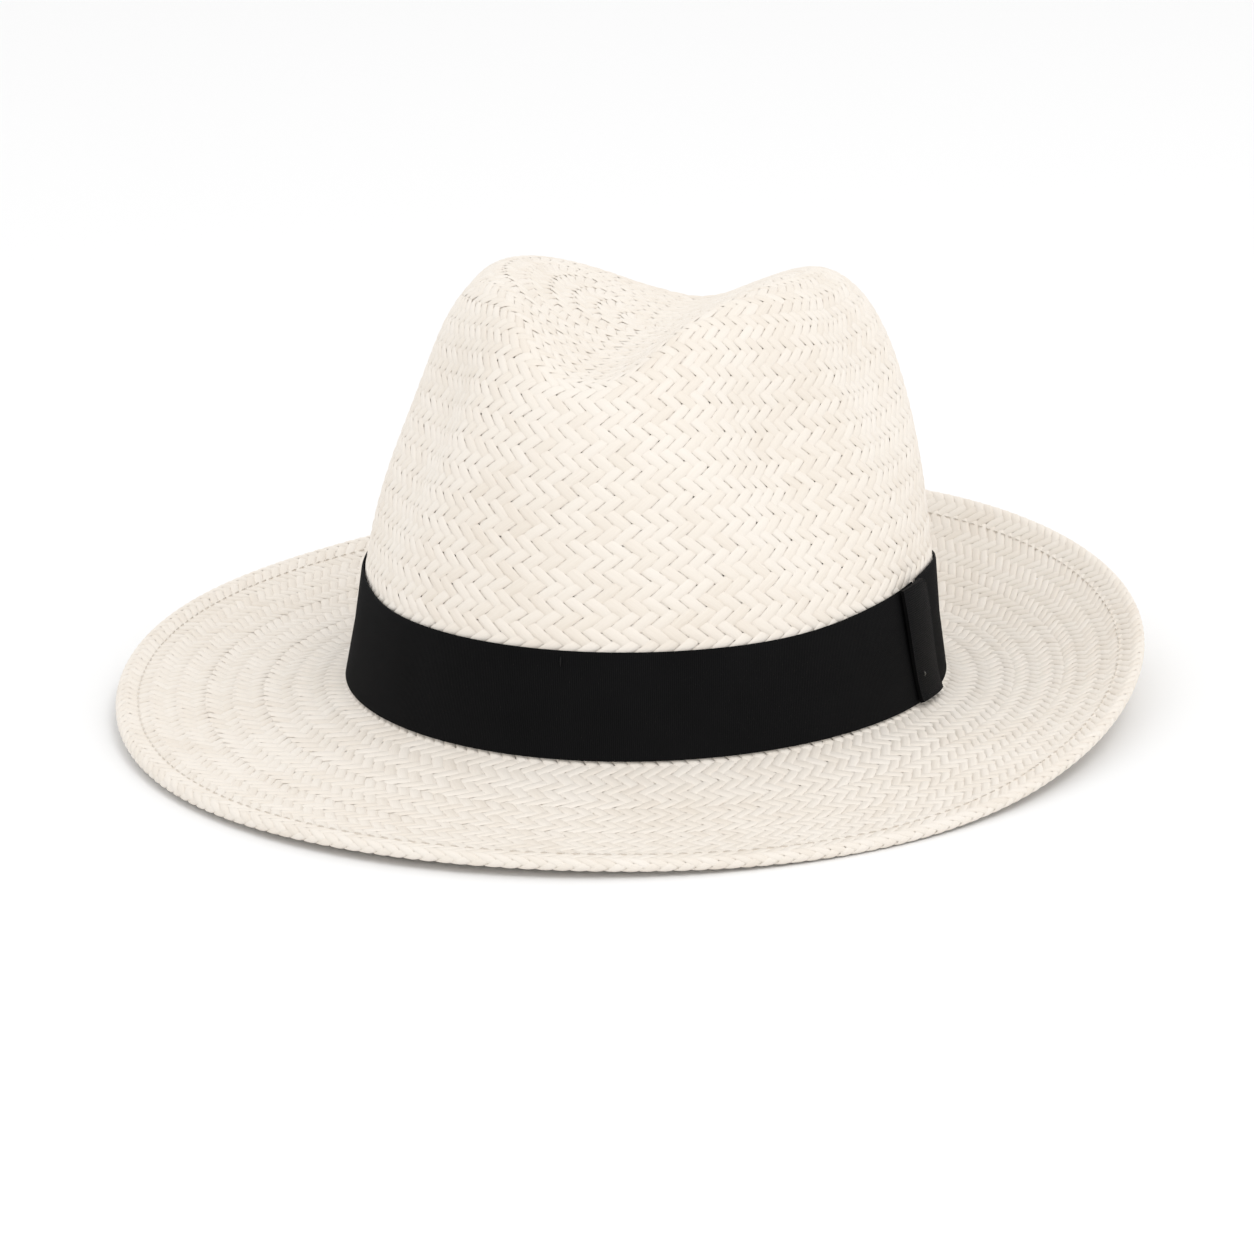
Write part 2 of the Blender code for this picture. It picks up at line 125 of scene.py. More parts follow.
def crown_form(angle, height_part, radius_part):
    """A point of the crown from its part of the height and of the radius.

    The open crown is the opening's oval, tapered with height. The crease is a rounded
    valley along Y, met by the open crown in a soft lip. The pinches squeeze X towards 0.
    """
    oval_x, oval_y = opening_oval(angle)
    taper = blend((BACK_TAPER, FRONT_TAPER), 0.5 + 0.5 * np.cos(angle))
    x = oval_x * radius_part * (1.0 - SIDE_TAPER * height_part)
    y = oval_y * radius_part * (1.0 - taper * height_part) + TIP_SETBACK * height_part
    z = CROWN_HEIGHT * height_part
    backward = smooth_step((y - CREASE_TURN[0]) / CREASE_TURN[1])
    end = smooth_step((y - CREASE_END[0]) / CREASE_END[1])
    floor = CREASE_FLOOR + CREASE_RISE * backward + CREASE_END_RISE * end
    across = np.sqrt(x * x + CREASE_ROUND ** 2) - CREASE_ROUND
    steepness = blend(CREASE_POWER, backward)
    valley = floor + CREASE_DEPTH * (across / blend(CREASE_WIDTH, backward)) ** steepness
    lip = blend(CREASE_LIP, backward)
    creased = (z + valley - np.sqrt((z - valley) ** 2 + lip ** 2)) / 2.0
    waist_z = (z - WAIST_Z) / WAIST_SIZE[1]
    waist = WAIST * np.exp(-(y / WAIST_SIZE[0]) ** 2 - waist_z ** 2)
    pinch_y = (y - PINCH_Y) / PINCH_SIZE[0]
    pinch_z = (creased - PINCH_Z) / PINCH_SIZE[1]
    pinch = PINCH * np.exp(-pinch_y ** 2 - pinch_z ** 2)
    spread = 1.0 + FLARE / OPENING_HALF_WIDTH * np.exp(-z / FLARE_HEIGHT)
    rise = BREAK_RISE * (np.sin(angle) ** 2 - np.sin(angle)) * (1.0 - height_part)
    return np.stack([x * (1.0 - waist - pinch) * spread, y * spread, creased + rise], axis=-1)


def crown_turn(angle, turn):
    """The crown by its quarter turn from the opening (0) to the middle of the tip (1)."""
    quarter = np.clip(turn, 0.0, 1.0) * math.pi / 2.0
    power = 2.0 / CROWN_SQUARENESS
    return crown_form(angle, np.sin(quarter) ** power, np.cos(quarter) ** power)


def crown_wall(angle, height):
    """The crown's outer wall at a height above the opening."""
    part = np.maximum(height, 0.0) / CROWN_HEIGHT
    radius = (1.0 - part ** CROWN_SQUARENESS) ** (1.0 / CROWN_SQUARENESS)
    return crown_form(angle, part, radius)


def brim_width(angle):
    """The width of the brim, from the break to its edge."""
    width = BRIM_WIDTH + BRIM_LONGER_FRONT * np.cos(angle)
    return width + BRIM_LONGER_ENDS * np.cos(2.0 * angle) + BRIM_UNEVEN * np.sin(angle)


def edge_rise(angle):
    """The height of the brim's edge over the opening: a sum of cosine and sine waves."""
    rise = sum(part * np.cos(wave * angle) for wave, part in enumerate(EDGE_RISE_EVEN))
    return rise + sum(part * np.sin((wave + 1) * angle) for wave, part in enumerate(EDGE_RISE_ODD))


def brim_form(angle, inset):
    """The top of the brim at a distance inside its edge, square to the opening's oval."""
    step = 1e-4
    ahead = np.stack(opening_oval(angle + step), axis=-1)
    behind = np.stack(opening_oval(angle - step), axis=-1)
    along = (ahead - behind) / np.linalg.norm(ahead - behind, axis=-1, keepdims=True)
    width = brim_width(angle)
    part = 1.0 - inset / width
    start = crown_wall(angle, np.zeros_like(angle))
    x = start[..., 0] + along[..., 1] * width * part
    y = start[..., 1] - along[..., 0] * width * part
    fall = np.minimum(edge_rise(angle), 0.0) - BRIM_DIP
    climb = edge_rise(angle) - fall
    z = fall * (1.6 * part - 0.6 * part * part) + climb * part * part
    return np.stack([x, y, start[..., 2] * (1.0 - part) + z], axis=-1)


def unit_normals(form, angle, value, step):
    """The cross product of form's two directions, at unit length."""
    around = form(angle + 1e-3, value) - form(angle - 1e-3, value)
    normal = np.cross(around, form(angle, value + step) - form(angle, value - step))
    return normal / np.linalg.norm(normal, axis=-1, keepdims=True)


# ---- the straw body: its weave ---------------------------------------------------------------
# Flat straws of twisted paper, about 3 mm wide, plaited on the bias: each passes over two and
# under two. Straws are added in growth rows, so the plait keeps its size as the hat widens.

CROWN_ROWS = 48                 # rows of the plait from the break to the middle of the tip
# A zone is its first row, its last row, and how many straws of each family go round it.
CROWN_ZONES = ((0.9, 31.25, 104), (31.25, 35.25, 80), (35.25, 39.25, 60), (39.25, 41.25, 42),
               (41.25, 43.25, 32), (43.25, 45.25, 22), (45.25, 47.9, 12))
BRIM_ROWS = 15.5                # rows from the break to the roll
BRIM_ZONES = ((-0.1, 5.25, 150), (5.25, 9.25, 186), (9.25, 18.4, 226))
ROW_ON_WALL = 0.0040            # a row's height on the crown's foot
ROW_ON_HEM = 0.0039             # and its width round the roll
ROLL_RADIUS = 0.0019            # of the brim's rolled edge
HEM_WIDTH = 0.0100              # turned back under the brim
HEM_DEPTH = 0.00265
CROWN_RISE = 0.00026            # a straw floats and dives by this
BRIM_RISE = 0.00019             # and by this on the brim, where the plait was ironed flatter
STRAW_THICKNESS = 0.00034
STRAW_FILL = 0.99               # a straw's part of the width it has
# The straw's pillowed section: part of its width from the middle, and part of its thickness.
STRAW_SECTION = ((-0.5, 0.0), (-0.42, 0.60), (-0.17, 1.0), (0.17, 1.0), (0.42, 0.60), (0.5, 0.0))
STATIONS_IN_ROW = 5
TABLE_STEP = 0.125              # rows between the rings of a table
ROUND = 1440                    # points round a ring
OVERRUN = 0.7                   # rows that a straw runs on under the next zone
TUCK_DEPTH = 0.0006
TUCK_ROWS = 0.4                 # a straw sinks to that depth over these rows
FLAT_FLOAT = 1.3                # how flat the tops of the floats are
UNEVEN_WIDTH = 0.025
SWAY = ((0.035, 1.1), (0.02, 2.7))  # how far a straw wanders, and how fast
BRIM_TABLE = (-3.0, 19.0)       # the first and the last row of the brim's table
ROW_NUMBER = (13.2, 2.3)        # the brim's rows number 13.2 p + 2.3 p^2 at a part p of its width


def evenly_round(points, side):
    """Rings of points, spaced evenly along each ring from the back, and their unit normals.

    The normal is side times the cross product of the ring's way round and the way up the rows.
    """
    rings = []
    for ring in points:
        length = np.concatenate([[0.0], np.cumsum(np.linalg.norm(np.diff(ring, axis=0), axis=1))])
        share = np.linspace(0.0, length[-1], ROUND + 1)
        rings.append([np.interp(share, length, axis) for axis in ring.T])
    rings = np.array(rings).transpose(0, 2, 1)
    padded = np.concatenate([rings[:, -2:-1], rings, rings[:, 1:2]], axis=1)
    normal = np.cross(padded[:, 2:] - padded[:, :-2], np.gradient(rings, axis=0))
    return rings, side * normal / np.maximum(np.linalg.norm(normal, axis=-1, keepdims=True), 1e-12)


def crown_table(rows):
    """The crown by row: each meridian is shared out evenly from the break to the tip."""
    angle = np.linspace(-math.pi, math.pi, 721)
    turns = 0.5 - 0.5 * np.cos(np.linspace(0.0, math.pi, 1200))
    path = crown_turn(angle[:, None], turns[None, :])
    steps = np.linalg.norm(np.diff(path, axis=1), axis=-1)
    length = np.concatenate([np.zeros((len(angle), 1)), np.cumsum(steps, axis=1)], axis=1)
    turn = np.array([np.interp(rows / CROWN_ROWS * row[-1], row, turns) for row in length])
    return evenly_round(crown_turn(angle[:, None], turn).transpose(1, 0, 2), 1.0)


def brim_table(rows):
    """The brim by row: up the crown's foot below 0, over the brim, round the roll, back under.

    On the brim a row's number is a p + b p^2, p being its part of the way to the roll, and
    a and b the values of ROW_NUMBER.
    """
    angle, row = np.meshgrid(np.linspace(-math.pi, math.pi, 1081), rows)
    foot = crown_wall(angle, -row * ROW_ON_WALL)
    a, b = ROW_NUMBER
    part = (np.sqrt(a ** 2 + 4.0 * b * np.clip(row, 0.0, BRIM_ROWS)) - a) / (2.0 * b)
    turn = np.radians(np.linspace(0.0, 158.0, 24))
    inset = np.append(ROLL_RADIUS * (1.0 - np.sin(turn)), (ROLL_RADIUS + 0.0012, HEM_WIDTH))
    depth = np.append(ROLL_RADIUS * (1.0 - np.cos(turn)), (HEM_DEPTH + 0.0003, HEM_DEPTH))
    length = np.append(0.0, np.cumsum(np.hypot(np.diff(inset), np.diff(depth))))
    past = (row - BRIM_ROWS) * ROW_ON_HEM
    width = brim_width(angle)
    in_from_edge = np.where(row < BRIM_ROWS, width - part * (width - ROLL_RADIUS),
                            np.interp(past, length, inset))
    down = unit_normals(brim_form, angle, in_from_edge, 1e-4)
    down = down * np.sign(-down[..., 2:3])
    top = brim_form(angle, in_from_edge) + down * np.interp(past, length, depth)[..., None]
    return evenly_round(np.where((row < 0.0)[..., None], foot, top), -1.0)


def on_table(table, first_row, row, share):
    """Read a table of rings between its points: linear in the row and round the ring."""
    height = np.clip((row - first_row) / TABLE_STEP, 0.0, len(table) - 1.001)
    column = np.mod(share, 1.0) * ROUND
    low, left = np.floor(height).astype(int), np.minimum(np.floor(column).astype(int), ROUND - 1)
    up, right = (height - low)[..., None], (column - left)[..., None]
    lower = table[low, left] * (1.0 - right) + table[low, left + 1] * right
    upper = table[low + 1, left] * (1.0 - right) + table[low + 1, left + 1] * right
    return lower * (1.0 - up) + upper * up


def straws(table, first_row, zone, float_rise, leans_left, tuck_low, tuck_high, seed):
    """One family of straws in a zone, as closed pillowed tubes: [straw, station, corner, xyz].

    A straw climbs one row for each straw's width it moves round. Its height over the shell is
    a flattened cosine of the row, so it floats over two straws and dives under two. Past the
    zone's ends it is tucked under the next zone.
    """
    low, high, count = zone
    start = low - (OVERRUN if tuck_low else 0.0)
    end = high + (OVERRUN if tuck_high else 0.0)
    stations = int(round((end - start) * STATIONS_IN_ROW)) + 1
    station = np.linspace(start, end, stations)[None, :, None]
    straw = np.arange(count)[:, None, None]
    random = np.random.default_rng(seed)
    phase = random.uniform(0.0, 2.0 * math.pi, (2, count, 1, 1))
    width = STRAW_FILL * (1.0 + UNEVEN_WIDTH * random.standard_normal((count, 1, 1)))
    section = np.array(STRAW_SECTION)
    offset = section[:, 0] * width
    rise = section[:, 1] * STRAW_THICKNESS
    sway = sum(reach * np.sin(rate * station + turn) for (reach, rate), turn in zip(SWAY, phase))
    row = station + offset / 2.0
    if leans_left:
        around = straw + 0.5 - station + offset / 2.0 + sway
    else:
        around = station - straw - 0.5 - offset / 2.0 + sway
    wave = np.tanh(FLAT_FLOAT * np.cos(math.pi * (station - 0.75))) / math.tanh(FLAT_FLOAT)
    lift = float_rise * (wave if leans_left else -wave)
    margin = 0.0 if leans_left else 0.3
    tuck = np.zeros_like(row)
    if tuck_low:
        tuck = tuck + smooth_step((low + 0.3 - margin - row) / TUCK_ROWS)
    if tuck_high:
        tuck = tuck + smooth_step((row - high + margin) / TUCK_ROWS)
    proud = lift + rise - float_rise - STRAW_THICKNESS - TUCK_DEPTH * tuck
    share = around / count
    place = on_table(table[0], first_row, row, share)
    normal = on_table(table[1], first_row, row, share)
    return stand(place + normal * proud[..., None]), station, straw, offset


def fill_mesh(name, vertices, faces, coordinates, tone=None):
    """A smooth closed mesh of quads, turned so that its volume is positive, with its UV map."""
    vertices = vertices.reshape(-1, 3)
    a, b, c, d = (vertices[faces[:, corner]] for corner in range(4))
    volume = np.einsum("ij,ij->", a, np.cross(b, c)) + np.einsum("ij,ij->", a, np.cross(c, d))
    if volume < 0.0:
        faces = faces[:, ::-1]
    mesh = bpy.data.meshes.new(name)
    mesh.vertices.add(len(vertices))
    mesh.vertices.foreach_set("co", vertices.astype(np.float32).ravel())
    mesh.loops.add(faces.size)
    mesh.loops.foreach_set("vertex_index", faces.astype(np.int32).ravel())
    mesh.polygons.add(len(faces))
    mesh.polygons.foreach_set("loop_start", np.arange(0, faces.size, 4, dtype=np.int32))
    layer = mesh.uv_layers.new(name="lay")
    spread = coordinates.reshape(-1, 2)[faces.ravel()]
    layer.data.foreach_set("uv", spread.astype(np.float32).ravel())
    if tone is not None:
        mesh.attributes.new("tone", "FLOAT", "POINT").data.foreach_set(
            "value", tone.astype(np.float32).ravel())
    mesh.update(calc_edges=True)
    mesh.validate()
    mesh.shade_smooth()
    mesh.set_sharp_from_angle(angle=math.radians(50.0))
    piece = bpy.data.objects.new(name, mesh)
    bpy.context.scene.collection.objects.link(piece)
    return piece


def tube_faces(tubes, stations, corners):
    """The quads of closed tubes: sides between stations, and a cap over each end."""
    index = np.arange(tubes * stations * corners).reshape(tubes, stations, corners)
    after = np.roll(index, -1, axis=2)
    sides = np.stack([index[:, :-1], after[:, :-1], after[:, 1:], index[:, 1:]], axis=-1)
    half = corners // 2
    caps = []
    for end in (index[:, 0, ::-1], index[:, -1]):
        low, high = end[:, :half], end[:, :half - 1:-1]
        caps.append(np.stack([low[:, :-1], low[:, 1:], high[:, 1:], high[:, :-1]], axis=-1))
    return np.concatenate([sides.reshape(-1, 4)] + [cap.reshape(-1, 4) for cap in caps])


def add_straws(name, table, first_row, zone, float_rise, leans_left, tuck_low, tuck_high, seed):
    """A family of straws as one piece, with its lay (along, straw and across) and tones."""
    points, station, straw, offset = straws(table, first_row, zone, float_rise, leans_left,
                                            tuck_low, tuck_high, seed)
    shape = points.shape[:3]
    along, across = np.broadcast_to(station, shape), np.broadcast_to(straw + offset, shape)
    lay = np.stack([along, across], axis=-1)
    tone = np.random.default_rng(seed + 1).uniform(0.0, 1.0, (shape[0], 1, 1))
    piece = fill_mesh(name, points, tube_faces(*shape), lay, np.broadcast_to(tone, shape))
    piece.data.materials.append(straw_finish)
    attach(piece, "root")
    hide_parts("straw_body")
    return piece


class Amount:
    """A number socket of a material; arithmetic on it adds Math nodes."""

    def __init__(self, finish, socket):
        self.finish = finish
        self.socket = socket

    def combine(self, operation, first, second):
        """One Math node on two numbers or sockets."""
        settings = {"operation": operation}
        return self.finish.add("ShaderNodeMath", settings, {0: first, 1: second}).amount(0)

    def __add__(self, other):
        return self.combine("ADD", self, other)

    def __sub__(self, other):
        return self.combine("SUBTRACT", self, other)

    def __rsub__(self, other):
        return self.combine("SUBTRACT", other, self)

    def __mul__(self, other):
        return self.combine("MULTIPLY", self, other)

    __radd__ = __add__
    __rmul__ = __mul__


class Node:
    """A node of a finish, whose outputs are read by name or number."""

    def __init__(self, finish, node):
        self.finish = finish
        self.node = node

    def amount(self, output):
        """An output as a number for arithmetic."""
        return Amount(self.finish, self.node.outputs[output])


class Finish:
    """A material with a Principled shader, built node by node."""

    def __init__(self, name, **uniform):
        self.material = bpy.data.materials.new(name)
        self.material.use_nodes = True
        self.tree = self.material.node_tree
        self.shader = self.tree.nodes["Principled BSDF"]
        for socket, value in uniform.items():
            self.shader.inputs[socket.replace("_", " ")].default_value = value

    def add(self, kind, settings, sockets):
        """A node of a kind: its settings first, then the values or links of its sockets."""
        node = self.tree.nodes.new(kind)
        stops = settings.pop("stops", None)
        for key, value in settings.items():
            setattr(node, key, value)
        if stops:
            ramp = node.color_ramp
            while len(ramp.elements) < len(stops):
                ramp.elements.new(0.5)
            for element, (position, colour) in zip(ramp.elements, stops):
                element.position = position
                element.color = (*colour, 1.0)
        for key, value in sockets.items():
            self.join(value, node.inputs[key])
        return Node(self, node)

    def join(self, value, socket):
        """Set a socket to a number, a colour, or a link from another node."""
        if isinstance(value, Amount):
            self.tree.links.new(value.socket, socket)
        elif isinstance(value, bpy.types.NodeSocket):
            self.tree.links.new(value, socket)
        else:
            socket.default_value = value

    def feed(self, **sockets):
        """Link what varies over the surface to the shader."""
        for name, value in sockets.items():
            self.join(value, self.shader.inputs[name.replace("_", " ")])


def make_straw_finish():
    """Bleached paper straw: each straw its own cream, fine fibres along it, a dull gloss."""
    finish = Finish("bleached_paper_straw", Specular_IOR_Level=0.4)
    lay = finish.add("ShaderNodeUVMap", {"uv_map": "lay"}, {}).node.outputs[0]
    parts = finish.add("ShaderNodeSeparateXYZ", {}, {0: lay})
    tone = finish.add("ShaderNodeAttribute", {"attribute_name": "tone"}, {}).amount("Fac")
    along = parts.amount("X") * 0.9
    across = parts.amount("Y") * 11.0
    place = finish.add("ShaderNodeCombineXYZ", {}, {"X": along, "Y": across, "Z": tone * 40.0})
    fibre = finish.add("ShaderNodeTexNoise", {}, {"Vector": place.node.outputs[0], "Scale": 1.0,
                                                  "Detail": 3.0, "Roughness": 0.6}).amount("Fac")
    body = finish.add("ShaderNodeTexCoord", {}, {}).node.outputs["Object"]
    cloud = finish.add("ShaderNodeTexNoise", {}, {"Vector": body, "Scale": 30.0,
                                                  "Detail": 4.0}).amount("Fac")
    mix = tone * 0.20 + fibre * 0.35 + cloud * 0.45
    colour = finish.add("ShaderNodeValToRGB", {"stops": ((0.25, (0.790, 0.715, 0.625)),
                                                         (0.50, (0.850, 0.787, 0.708)),
                                                         (0.80, (0.885, 0.832, 0.765)))}, {0: mix})
    rough = fibre * 0.18 + 0.42
    bump = finish.add("ShaderNodeBump", {}, {"Height": fibre, "Strength": 0.4, "Distance": 0.00012})
    finish.feed(Base_Color=colour.node.outputs[0], Roughness=rough, Normal=bump.node.outputs[0])
    return finish.material


straw_finish = make_straw_finish()
crown_rows = np.arange(0.0, CROWN_ROWS + TABLE_STEP / 2.0, TABLE_STEP)
crown_shell = crown_table(crown_rows)
brim_rows = np.arange(BRIM_TABLE[0], BRIM_TABLE[1], TABLE_STEP)
brim_shell = brim_table(brim_rows)
for where, zones, table, rows, float_rise, foot_tucked, seed in (
        ("crown", CROWN_ZONES, crown_shell, crown_rows, CROWN_RISE, False, 0),
        ("brim", BRIM_ZONES, brim_shell, brim_rows, BRIM_RISE, True, 100)):
    for number, zone in enumerate(zones):
        for leans_left in (True, False):
            name = f"{where}_straws_{number + 1}_{'left' if leans_left else 'right'}"
            add_straws(
                name, table, rows[0], zone, float_rise, leans_left,
                number > 0 or foot_tucked, number < len(zones) - 1, seed + 10 * number)


# ---- the brim's wire -------------------------------------------------------------------------
# A round spring-steel wire, 0.9 mm thick, runs in the channel of the rolled edge right round
# the brim, and lets it hold a snapped shape.

WIRE_RADIUS = 0.00045


def hem_place(angle, inset, depth):
    """A place at an inset from the brim's edge and a depth, square to it, under its top."""
    inset = np.zeros_like(angle) + inset
    down = unit_normals(brim_form, angle, inset, 1e-4)
    down = down * np.sign(-down[..., 2:3])
    depth = np.zeros_like(angle) + depth
    return brim_form(angle, inset) + down * depth[..., None]


def ring_faces(rows, columns):
    """The quads of a surface that closes on itself both ways."""
    index = np.arange(rows * columns).reshape(rows, columns)
    over, beside = np.roll(index, -1, axis=0), np.roll(index, -1, axis=1)
    corners = np.stack([index, beside, np.roll(over, -1, axis=1), over], axis=-1)
    return corners.reshape(-1, 4)


def place_piece(piece, nodes, finish):
    """Dress a piece with its finish, and hide the CAD pieces that it stands for."""
    piece.data.materials.append(finish)
    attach(piece, "root")
    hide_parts(*nodes)


def make_steel_finish():
    """Drawn steel: bright, with faint lines along the wire."""
    finish = Finish("drawn_steel", Metallic=1.0, Base_Color=(0.56, 0.56, 0.57, 1.0))
    body = finish.add("ShaderNodeTexCoord", {}, {}).node.outputs["Object"]
    grain = finish.add("ShaderNodeTexNoise", {}, {"Vector": body, "Scale": 900.0,
                                                  "Detail": 3.0}).amount("Fac")
    finish.feed(Roughness=grain * 0.25 + 0.22)
    return finish.material


angle, turn = np.meshgrid(np.linspace(0.0, 2.0 * math.pi, 361)[:-1],
                          np.linspace(0.0, 2.0 * math.pi, 9)[:-1])
wire_points = stand(hem_place(angle, ROLL_RADIUS - WIRE_RADIUS * np.cos(turn),
                              ROLL_RADIUS - WIRE_RADIUS * np.sin(turn)))
wire = fill_mesh("brim_spring_wire", wire_points, ring_faces(8, 360),
                 np.stack([angle, turn], axis=-1))
place_piece(wire, ["brim_wire"], make_steel_finish())


# ---- the hem's stitching ---------------------------------------------------------------------
# A line of cream thread, some 250 short stitches, holds the turned-under hem. Each stitch lies
# on the brim's top and dips into the straw at both ends.

THREAD_RADIUS = 0.00022
STITCH_INSET = 0.0065
HEM_STITCHES = 255
STITCH_PART = 0.62              # a stitch's part of the way from one stitch to the next


def thread_form(along, round_it):
    """A stitch's radius and height over the cloth at a part of its length and a turn round it.

    The radius is r sqrt(sin(pi t)), made wavy by two plies; the height is r (1.2 sin(pi t) - 0.3).
    """
    bulge = np.sqrt(np.sin(math.pi * np.clip(along, 0.04, 0.96)))
    radius = THREAD_RADIUS * bulge * (1.0 + 0.12 * np.cos(2.0 * round_it - 9.0 * along))
    return radius, THREAD_RADIUS * (1.2 * np.sin(math.pi * along) - 0.3)


def stitch_row(count, first, span, place, name):
    """Short capsules of thread in a row over a span of angles: their ends taper and dip.

    Each lies at place(angle, beside, up), and runs over STITCH_PART of its share of the span.
    """
    share = (np.arange(count) + 0.5) / count * span + first
    t = np.linspace(0.0, 1.0, 9)
    turn = np.linspace(0.0, 2.0 * math.pi, 7)[:-1]
    stitch, along, round_it = np.meshgrid(share, t, turn, indexing="ij")
    position = stitch + (along - 0.5) * STITCH_PART * span / count
    radius, height = thread_form(along, round_it)
    points = stand(place(position, radius * np.cos(round_it), height + radius * np.sin(round_it)))
    lay = np.stack([position * 40.0, round_it], axis=-1)
    return fill_mesh(name, points, tube_faces(count, len(t), len(turn)), lay)


def make_thread_finish(name, dark, light):
    """Twisted thread: slanting plies show as bands of light and shade."""
    finish = Finish(name, Specular_IOR_Level=0.3)
    lay = finish.add("ShaderNodeUVMap", {"uv_map": "lay"}, {}).node.outputs[0]
    ply = finish.add("ShaderNodeTexWave", {"bands_direction": "DIAGONAL"},
                     {"Vector": lay, "Scale": 1.6, "Distortion": 0.6}).amount("Fac")
    colour = finish.add("ShaderNodeValToRGB", {"stops": ((0.0, dark), (1.0, light))}, {0: ply})
    bump = finish.add("ShaderNodeBump", {}, {"Height": ply, "Strength": 0.5, "Distance": 0.00008})
    finish.feed(Base_Color=colour.node.outputs[0], Roughness=ply * 0.15 + 0.6,
                Normal=bump.node.outputs[0])
    return finish.material


cream_thread = make_thread_finish("cream_cotton_thread", (0.80, 0.74, 0.66), (0.88, 0.83, 0.76))
hem_thread = stitch_row(HEM_STITCHES, 0.0, 2.0 * math.pi,
                        lambda angle, beside, up: hem_place(angle, STITCH_INSET - beside, -up),
                        "hem_stitches")
place_piece(hem_thread, ["hem_stitching"], cream_thread)


# ---- the hatband -----------------------------------------------------------------------------
# A black grosgrain ribbon with upright ribs 0.6 mm apart and corded selvedges, drawn tight
# round the foot of the crown. Its ends meet at the wearer's left, under the keeper.

CLEARANCE = 0.0003
BAND_THICKNESS = 0.0007
BAND_FOOT = 0.0005
BAND_TOP = 0.0305
BAND_SIDE_RISE = 0.0045
BAND_LEFT_RISE = 0.0010
BAND_SEAM = math.radians(81.5)
BAND_SEAM_HALF_TURN = 0.0195    # half the angle, in radians, between the ribbon's ends
BAND_RIBS = 980
SAMPLES_IN_RIB = 4
RIB_HEIGHT = 0.00012
# The ribbon's section: parts of its height, of its thickness and of the ribs' height.
BAND_SECTION = ((0.0, 0.25, 0.6), (0.0, 0.75, 0.6), (0.03, 1.0, 1.0), (0.5, 1.0, 1.0),
                (0.97, 1.0, 1.0), (1.0, 0.75, 0.6), (1.0, 0.25, 0.6), (0.97, 0.0, 0.0),
                (0.5, 0.0, 0.0), (0.03, 0.0, 0.0))


def wall_place(angle, height, proud):
    """A place over the crown's wall, standing proud of it, or inside it where negative."""
    outward = unit_normals(crown_wall, angle, np.maximum(height, 2e-4), 1e-4)
    return crown_wall(angle, height) + outward * proud[..., None]


def band_top(angle):
    """The height of the hatband's upper edge: level, and higher at both sides."""
    rise = BAND_SIDE_RISE + BAND_LEFT_RISE * np.sin(angle)
    return BAND_TOP + rise * np.sin(angle) ** 8


def strip_faces(rows, columns):
    """The quads of a flat tube, closed round its rows, with a row of quads over each end."""
    return tube_faces(1, columns, rows)


def make_ribbon_finish():
    """Black grosgrain: matt ribs with painted shade darkening their grooves, and fine threads
    across them.
    """
    finish = Finish("black_grosgrain", Specular_IOR_Level=0.06)
    lay = finish.add("ShaderNodeUVMap", {"uv_map": "lay"}, {}).node.outputs[0]
    number = finish.add("ShaderNodeSeparateXYZ", {}, {0: lay}).amount("X")
    # painted shade: the colour darkens towards the middle of each groove between the ribs
    groove_shade = number.combine("PINGPONG", number, 0.5)
    yarn = finish.add("ShaderNodeTexWave", {"bands_direction": "Y"},
                      {"Vector": lay, "Scale": 1.0, "Distortion": 0.4}).amount("Fac")
    body = finish.add("ShaderNodeTexCoord", {}, {}).node.outputs["Object"]
    cloud = finish.add("ShaderNodeTexNoise", {}, {"Vector": body, "Scale": 60.0,
                                                  "Detail": 5.0}).amount("Fac")
    mix = yarn * 0.2 + cloud * 0.4 + 0.4 - groove_shade * 0.8
    colour = finish.add("ShaderNodeValToRGB", {"stops": ((0.15, (0.0010, 0.0010, 0.0012)),
                                                         (0.80, (0.0075, 0.0075, 0.0080)))},
                        {0: mix})
    bump = finish.add("ShaderNodeBump", {}, {"Height": yarn, "Strength": 0.35, "Distance": 0.00005})
    finish.feed(Base_Color=colour.node.outputs[0], Roughness=cloud * 0.12 + 0.62,
                Normal=bump.node.outputs[0])
    return finish.material


ribbon_finish = make_ribbon_finish()
samples = BAND_RIBS * SAMPLES_IN_RIB
angle = np.linspace(BAND_SEAM + BAND_SEAM_HALF_TURN,
                    BAND_SEAM + 2.0 * math.pi - BAND_SEAM_HALF_TURN, samples + 1)
part, face, ribbed = np.array(BAND_SECTION).T
grid_angle, grid_part = np.meshgrid(angle, part, indexing="ij")
rib_count = np.arange(samples + 1)[:, None] / SAMPLES_IN_RIB
rib = np.abs(np.cos(math.pi * rib_count)) - 1.0
proud = CLEARANCE + BAND_THICKNESS * face + RIB_HEIGHT * rib * ribbed
height = BAND_FOOT + (band_top(grid_angle) - BAND_FOOT) * grid_part
band_points = stand(wall_place(grid_angle, height, proud))
lay = np.stack([np.broadcast_to(rib_count, height.shape), height * 3500.0], axis=-1)
hatband = fill_mesh("grosgrain_hatband", band_points, strip_faces(len(part), samples + 1), lay)
place_piece(hatband, ["hatband"], ribbon_finish)


# ---- the keeper ------------------------------------------------------------------------------
# A short length of the same ribbon, turned upright so that its ribs run level. It is folded
# over the band's ends, stands off the band at its rolled front edge, and leans a little.

KEEPER_FRONT = math.radians(74.0)
KEEPER_BACK = math.radians(84.5)
KEEPER_SLANT = math.radians(4.0)
KEEPER_STANDOFF = 0.0006
KEEPER_THICKNESS = 0.0009
KEEPER_PUFF = 0.0009
KEEPER_PROUD_TOP = 0.0003
KEEPER_RIBS = 54
KEEPER_CORNER = 0.0025          # how far the back upper corner is rounded off
POINTS_ACROSS = 25

